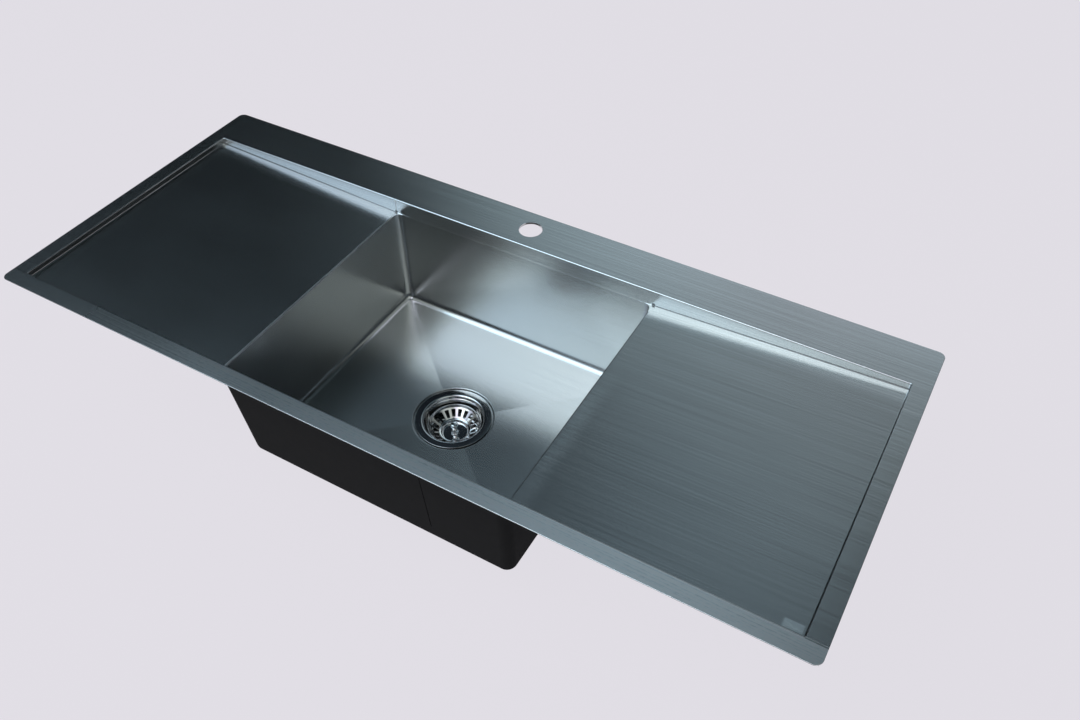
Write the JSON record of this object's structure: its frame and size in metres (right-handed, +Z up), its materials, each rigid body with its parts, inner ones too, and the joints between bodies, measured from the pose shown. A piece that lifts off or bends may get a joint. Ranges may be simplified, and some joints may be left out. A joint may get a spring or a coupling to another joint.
{
  "type": "kitchen sink with drainboard",
  "caption": "Brushed steel inset kitchen sink: a deep square-walled bowl with a creased floor between sloping drainboards, with a tap ledge, basket strainer waste and screw clips.",
  "frame": {"origin": "centre of the rim's outline, in the plane of the worktop that the rim's foam seal lies on", "axes": "+X to the user's right along the sink, +Y to the wall behind the tap ledge, +Z up"},
  "size_m": [1.2, 0.5, 0.2809],
  "materials": {
    "brushed_sheet": "brushed along the length",
    "polished_steel": "polished",
    "zinc_steel": "dull zinc plate",
    "deadening_coating": "matte sprayed coating",
    "bitumen_pad": "matte",
    "foam_seal": "matte closed-cell foam",
    "black_rubber": "satin",
    "waste_plastic": "moulded satin"
  },
  "bodies": {
    "sink": {"deck": "brushed_sheet", "bowl": "brushed_sheet", "bowl_coating": "deadening_coating", "board_pad_left": "bitumen_pad", "board_pad_right": "bitumen_pad", "board_stiffener_left_front": "zinc_steel", "board_stiffener_left_back": "zinc_steel", "board_stiffener_right_front": "zinc_steel", "board_stiffener_right_back": "zinc_steel", "tap_hole_plate": "zinc_steel", "rim_seal_front": "foam_seal", "rim_seal_back": "foam_seal", "rim_seal_left": "foam_seal", "rim_seal_right": "foam_seal", "rail_back_left": "zinc_steel", "rail_back_right": "zinc_steel", "rail_front_left": "zinc_steel", "rail_front_right": "zinc_steel", "rail_front_middle": "zinc_steel", "rail_left": "zinc_steel", "rail_right": "zinc_steel", "clip_bolt_back_1": "zinc_steel", "clip_bolt_back_2": "zinc_steel", "clip_bolt_back_3": "zinc_steel", "clip_bolt_back_4": "zinc_steel", "clip_bolt_left": "zinc_steel", "clip_bolt_right": "zinc_steel", "strainer_cup": "polished_steel", "flange_gasket": "black_rubber", "body_gasket": "black_rubber", "waste_body": "waste_plastic", "clamp_screw": "polished_steel", "clamp_nut": "zinc_steel"},
    "basket": {"basket": "polished_steel", "basket_plug": "black_rubber", "basket_retainer": "polished_steel", "basket_knob": "polished_steel", "snap_ring": "polished_steel"},
    "clip_nut_back_1": {"clip_nut_back_1": "zinc_steel"},
    "clip_claw_back_1": {"clip_claw_back_1": "zinc_steel"},
    "clip_nut_back_2": {"clip_nut_back_2": "zinc_steel"},
    "clip_claw_back_2": {"clip_claw_back_2": "zinc_steel"},
    "clip_nut_back_3": {"clip_nut_back_3": "zinc_steel"},
    "clip_claw_back_3": {"clip_claw_back_3": "zinc_steel"},
    "clip_nut_back_4": {"clip_nut_back_4": "zinc_steel"},
    "clip_claw_back_4": {"clip_claw_back_4": "zinc_steel"},
    "clip_nut_left": {"clip_nut_left": "zinc_steel"},
    "clip_claw_left": {"clip_claw_left": "zinc_steel"},
    "clip_nut_right": {"clip_nut_right": "zinc_steel"},
    "clip_claw_right": {"clip_claw_right": "zinc_steel"}
  },
  "joints": [
    {"name": "basket_lift", "type": "slide", "parent": "sink", "child": "basket", "axis": [0, 0, 1], "range_m": [0, 0.26]},
    {"name": "clip_screw_back_1", "type": "slide", "parent": "sink", "child": "clip_nut_back_1", "axis": [0, 0, 1], "range_m": [0, 0.022]},
    {"name": "claw_swing_back_1", "type": "hinge", "parent": "clip_nut_back_1", "child": "clip_claw_back_1", "pos_m": [-0.465, 0.2335, -0.057], "axis": [0, 0, 1], "range_deg": [0, 90]},
    {"name": "clip_screw_back_2", "type": "slide", "parent": "sink", "child": "clip_nut_back_2", "axis": [0, 0, 1], "range_m": [0, 0.022]},
    {"name": "claw_swing_back_2", "type": "hinge", "parent": "clip_nut_back_2", "child": "clip_claw_back_2", "pos_m": [-0.185, 0.2335, -0.057], "axis": [0, 0, 1], "range_deg": [0, 90]},
    {"name": "clip_screw_back_3", "type": "slide", "parent": "sink", "child": "clip_nut_back_3", "axis": [0, 0, 1], "range_m": [0, 0.022]},
    {"name": "claw_swing_back_3", "type": "hinge", "parent": "clip_nut_back_3", "child": "clip_claw_back_3", "pos_m": [0.185, 0.2335, -0.057], "axis": [0, 0, 1], "range_deg": [0, 90]},
    {"name": "clip_screw_back_4", "type": "slide", "parent": "sink", "child": "clip_nut_back_4", "axis": [0, 0, 1], "range_m": [0, 0.022]},
    {"name": "claw_swing_back_4", "type": "hinge", "parent": "clip_nut_back_4", "child": "clip_claw_back_4", "pos_m": [0.465, 0.2335, -0.057], "axis": [0, 0, 1], "range_deg": [0, 90]},
    {"name": "clip_screw_left", "type": "slide", "parent": "sink", "child": "clip_nut_left", "axis": [0, 0, 1], "range_m": [0, 0.022]},
    {"name": "claw_swing_left", "type": "hinge", "parent": "clip_nut_left", "child": "clip_claw_left", "pos_m": [-0.5835, 0, -0.057], "axis": [0, 0, 1], "range_deg": [0, 90]},
    {"name": "clip_screw_right", "type": "slide", "parent": "sink", "child": "clip_nut_right", "axis": [0, 0, 1], "range_m": [0, 0.022]},
    {"name": "claw_swing_right", "type": "hinge", "parent": "clip_nut_right", "child": "clip_claw_right", "pos_m": [0.5835, 0, -0.057], "axis": [0, 0, 1], "range_deg": [0, 90]}
  ]
}
